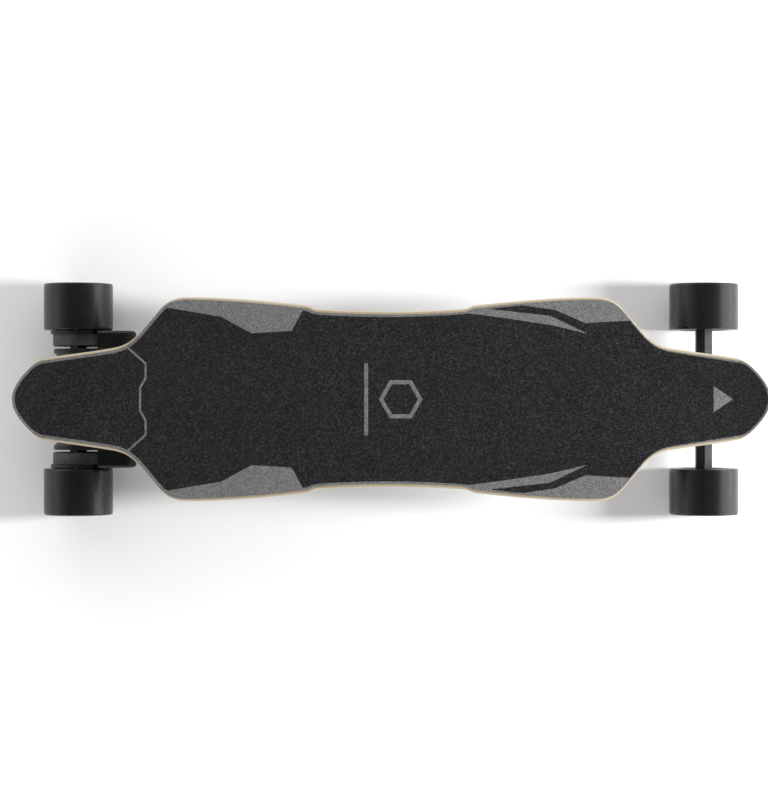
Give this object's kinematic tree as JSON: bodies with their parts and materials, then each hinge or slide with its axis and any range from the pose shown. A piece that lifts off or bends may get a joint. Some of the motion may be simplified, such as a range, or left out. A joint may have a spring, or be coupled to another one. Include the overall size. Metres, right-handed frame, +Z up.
{
  "type": "electric skateboard",
  "caption": "Belt-driven electric skateboard: flat wooden deck with a grip sheet, two steering trucks, motors beside the rear axle and a sealed battery box.",
  "frame": {"origin": "on the ground below the middle of the deck", "axes": "+X towards the nose, along the length; +Y to the rider's left side of the board; +Z up"},
  "size_m": [0.965, 0.302, 0.134],
  "materials": {
    "deck_wood": "maple laminate, clear coated",
    "brass": "machined",
    "grip_black": "coarse abrasive grit",
    "grip_grey": "coarse abrasive grit",
    "riser_rubber": "soft, matt",
    "truck_black": "satin black coat",
    "black_steel": "black oxide",
    "urethane_red": "smooth urethane",
    "bright_steel": "zinc plated",
    "enclosure_plastic": "fine moulded texture",
    "gasket_rubber": "foam, matt",
    "cell_wrap": "shrink wrapped cans",
    "holder_plastic": "moulded",
    "circuit_board": "solder mask",
    "heat_sink": "anodised, finned",
    "port_plastic": "moulded",
    "cable_jacket": "braided sleeve",
    "bright_metal": "turned",
    "cap_rubber": "soft, matt",
    "hanger_metal": "satin grey coat",
    "mount_black": "satin black anodise",
    "stator_metal": "wound laminations",
    "motor_can": "satin black",
    "pulley_steel": "machined",
    "belt_rubber": "reinforced, matt",
    "cover_black": "satin black",
    "pulley_black": "moulded nylon",
    "wheel_urethane": "cast urethane, satin",
    "wheel_core": "moulded nylon",
    "bearing_steel": "polished"
  },
  "bodies": {
    "deck": {"deck": "deck_wood", "threaded_inserts": "brass", "grip_tape": "grip_black", "grip_inlays": "grip_grey", "riser_pads": "riser_rubber", "front_baseplate": "truck_black", "rear_baseplate": "truck_black", "truck_bolts": "black_steel", "pivot_cups": "urethane_red", "kingpins": "bright_steel", "kingpin_nuts": "bright_steel", "bushings": "urethane_red", "bushing_washers": "bright_steel", "enclosure_shell": "enclosure_plastic", "enclosure_gasket": "gasket_rubber", "enclosure_screws": "black_steel", "battery_cells": "cell_wrap", "cell_holders": "holder_plastic", "bms_board": "circuit_board", "speed_controller": "heat_sink", "charge_port": "port_plastic", "cable_glands": "port_plastic", "motor_cables": "cable_jacket", "button_bezel": "bright_metal"},
    "power_button": {"power_button": "bright_metal"},
    "charge_port_cap": {"charge_port_cap": "cap_rubber"},
    "front_truck": {"front_hanger": "hanger_metal", "front_axle": "bright_steel", "front_axle_nuts": "bright_steel"},
    "rear_truck": {"rear_hanger": "hanger_metal", "rear_axle": "bright_steel", "rear_axle_nuts": "bright_steel", "left_motor_mount": "mount_black", "right_motor_mount": "mount_black", "drive_screws": "black_steel", "left_motor_stator": "stator_metal", "right_motor_stator": "stator_metal", "left_drive_belt": "belt_rubber", "right_drive_belt": "belt_rubber", "left_belt_cover": "cover_black", "right_belt_cover": "cover_black"},
    "left_motor": {"left_motor_rotor": "motor_can", "left_motor_pulley": "pulley_steel"},
    "right_motor": {"right_motor_rotor": "motor_can", "right_motor_pulley": "pulley_steel"},
    "front_left_wheel": {"front_left_tyre": "wheel_urethane", "front_left_core": "wheel_core", "front_left_bearings": "bearing_steel"},
    "front_right_wheel": {"front_right_tyre": "wheel_urethane", "front_right_core": "wheel_core", "front_right_bearings": "bearing_steel"},
    "rear_left_wheel": {"rear_left_tyre": "wheel_urethane", "rear_left_core": "wheel_core", "rear_left_bearings": "bearing_steel", "left_wheel_pulley": "pulley_black"},
    "rear_right_wheel": {"rear_right_tyre": "wheel_urethane", "rear_right_core": "wheel_core", "rear_right_bearings": "bearing_steel", "right_wheel_pulley": "pulley_black"}
  },
  "joints": [
    {"name": "front_truck_steer", "type": "hinge", "parent": "deck", "child": "front_truck", "pos_m": [0.40293, 0, 0.05207], "axis": [0.7071, 0, 0.7071], "range_deg": [-15, 15], "stiffness_Nm_per_rad": 120, "deforming": ["bushings"]},
    {"name": "rear_truck_steer", "type": "hinge", "parent": "deck", "child": "rear_truck", "pos_m": [-0.40293, 0, 0.05207], "axis": [-0.7071, 0, 0.7071], "range_deg": [-15, 15], "stiffness_Nm_per_rad": 120, "deforming": ["bushings", "motor_cables"]},
    {"name": "power_button_press", "type": "slide", "parent": "deck", "child": "power_button", "axis": [0, 1, 0], "range_m": [0, 0.0015], "stiffness_N_per_m": 600},
    {"name": "charge_port_cap_hinge", "type": "hinge", "parent": "deck", "child": "charge_port_cap", "pos_m": [0.19, -0.0994, 0.1095], "axis": [-1, 0, 0], "range_deg": [0, 95]},
    {"name": "front_left_wheel_spin", "type": "hinge", "parent": "front_truck", "child": "front_left_wheel", "pos_m": [0.41, 0, 0.045], "axis": [0, 1, 0], "continuous": true},
    {"name": "front_right_wheel_spin", "type": "hinge", "parent": "front_truck", "child": "front_right_wheel", "pos_m": [0.41, 0, 0.045], "axis": [0, 1, 0], "continuous": true},
    {"name": "rear_left_wheel_spin", "type": "hinge", "parent": "rear_truck", "child": "rear_left_wheel", "pos_m": [-0.41, 0, 0.045], "axis": [0, 1, 0], "continuous": true},
    {"name": "rear_right_wheel_spin", "type": "hinge", "parent": "rear_truck", "child": "rear_right_wheel", "pos_m": [-0.41, 0, 0.045], "axis": [0, 1, 0], "continuous": true},
    {"name": "left_motor_spin", "type": "hinge", "parent": "rear_truck", "child": "left_motor", "pos_m": [-0.3515, 0, 0.055], "axis": [0, 1, 0], "continuous": true},
    {"name": "right_motor_spin", "type": "hinge", "parent": "rear_truck", "child": "right_motor", "pos_m": [-0.3515, 0, 0.055], "axis": [0, 1, 0], "continuous": true}
  ],
  "couplings": [
    {"joint": "left_motor_spin", "follows": "rear_left_wheel_spin", "ratio": 2.5},
    {"joint": "right_motor_spin", "follows": "rear_right_wheel_spin", "ratio": 2.5}
  ]
}
